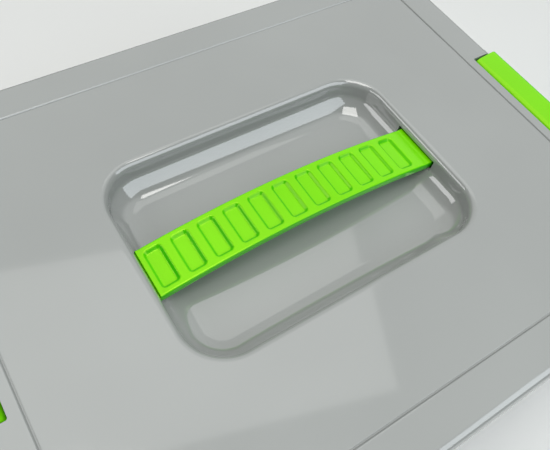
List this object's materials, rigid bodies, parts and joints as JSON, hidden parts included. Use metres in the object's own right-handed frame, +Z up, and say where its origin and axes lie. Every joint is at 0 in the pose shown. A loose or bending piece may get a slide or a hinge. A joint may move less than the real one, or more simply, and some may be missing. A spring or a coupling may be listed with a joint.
{
  "type": "sluice box",
  "caption": "Portable gold sluice in a moulded carry case: strap handle in a lid well, end latches, sliding inlet and tail trays, riffles, mats and a wire stand.",
  "frame": {"origin": "on the ground under the middle of the case", "axes": "+X downstream along the case, +Y to the left bank, +Z up"},
  "size_m": [0.4138, 0.312, 0.1421],
  "materials": {
    "case_plastic": "moulded light grey, satin",
    "lid_plastic": "moulded light grey, polished",
    "lime_plastic": "moulded lime green, polished",
    "guide_plastic": "moulded dark grey",
    "seal_rubber": "soft black",
    "foot_rubber": "matt black",
    "mat_rubber": "ribbed, matt",
    "trough_aluminium": "rolled sheet",
    "riffle_aluminium": "brushed",
    "rivet_aluminium": "satin",
    "screen_steel": "expanded sheet",
    "screw_steel": "plated",
    "pin_steel": "ground",
    "stand_steel": "drawn wire"
  },
  "bodies": {
    "case": {"tub": "case_plastic", "tie_eyes": "pin_steel", "tie_rivets": "rivet_aluminium", "rim_seal": "seal_rubber", "feet": "foot_rubber", "foot_screws": "screw_steel", "guide_left": "guide_plastic", "guide_right": "guide_plastic", "guide_screws": "screw_steel", "trough": "trough_aluminium", "trough_screws": "screw_steel", "ledge_left": "trough_aluminium", "ledge_right": "trough_aluminium", "ledge_rivets": "rivet_aluminium", "trough_mat": "mat_rubber", "classifier_screen": "screen_steel", "riffle_frame": "riffle_aluminium", "stand_brackets": "guide_plastic", "bracket_screws": "screw_steel"},
    "lid": {"lid_shell": "lid_plastic", "inlet_keeper": "guide_plastic", "outlet_keeper": "guide_plastic", "keeper_screws": "screw_steel", "inlet_latch_pin": "pin_steel", "outlet_latch_pin": "pin_steel"},
    "handle": {"handle_strap": "lime_plastic"},
    "latch_at_inlet": {"inlet_latch": "lime_plastic"},
    "latch_at_outlet": {"outlet_latch": "lime_plastic"},
    "inlet_slide": {"inlet_tray": "trough_aluminium", "wing_pin_left": "pin_steel", "wing_pin_right": "pin_steel"},
    "left_wing": {"wing_left": "case_plastic", "wing_tab_left": "lime_plastic"},
    "right_wing": {"wing_right": "case_plastic", "wing_tab_right": "lime_plastic"},
    "tail_slide": {"tail_tray": "trough_aluminium", "tail_mat": "mat_rubber", "tail_riffles": "riffle_aluminium", "gate_pin": "pin_steel"},
    "gate": {"tail_gate": "case_plastic", "gate_pull": "lime_plastic"},
    "stand": {"stand_bail": "stand_steel", "stand_sleeve": "foot_rubber"}
  },
  "joints": [
    {"name": "lid_lift", "type": "slide", "parent": "case", "child": "lid", "axis": [0, 0, 1], "range_m": [0, 0.15]},
    {"name": "handle_slide", "type": "slide", "parent": "lid", "child": "handle", "axis": [1, 0, 0], "range_m": [0, 0.0086]},
    {"name": "inlet_latch_turn", "type": "hinge", "parent": "lid", "child": "latch_at_inlet", "pos_m": [-0.188, 0, 0.133], "axis": [0, 1, 0], "range_deg": [-7, 80]},
    {"name": "outlet_latch_turn", "type": "hinge", "parent": "lid", "child": "latch_at_outlet", "pos_m": [0.188, 0, 0.133], "axis": [0, -1, 0], "range_deg": [-7, 80]},
    {"name": "inlet_tray_slide", "type": "slide", "parent": "case", "child": "inlet_slide", "axis": [-1, 0, 0], "range_m": [0, 0.3]},
    {"name": "left_wing_turn", "type": "hinge", "parent": "inlet_slide", "child": "left_wing", "pos_m": [-0.194, 0.1279, 0.084], "axis": [0, 0, -1], "range_deg": [0, 125]},
    {"name": "right_wing_turn", "type": "hinge", "parent": "inlet_slide", "child": "right_wing", "pos_m": [-0.194, -0.1279, 0.084], "axis": [0, 0, 1], "range_deg": [0, 125]},
    {"name": "tail_tray_slide", "type": "slide", "parent": "case", "child": "tail_slide", "axis": [1, 0, 0], "range_m": [0, 0.3]},
    {"name": "tail_gate_turn", "type": "hinge", "parent": "tail_slide", "child": "gate", "pos_m": [0.194, 0, 0.0151], "axis": [0, 1, 0], "range_deg": [0, 90]},
    {"name": "stand_turn", "type": "hinge", "parent": "case", "child": "stand", "pos_m": [-0.15, 0, 0.0061], "axis": [0, 1, 0], "range_deg": [0, 100]}
  ]
}
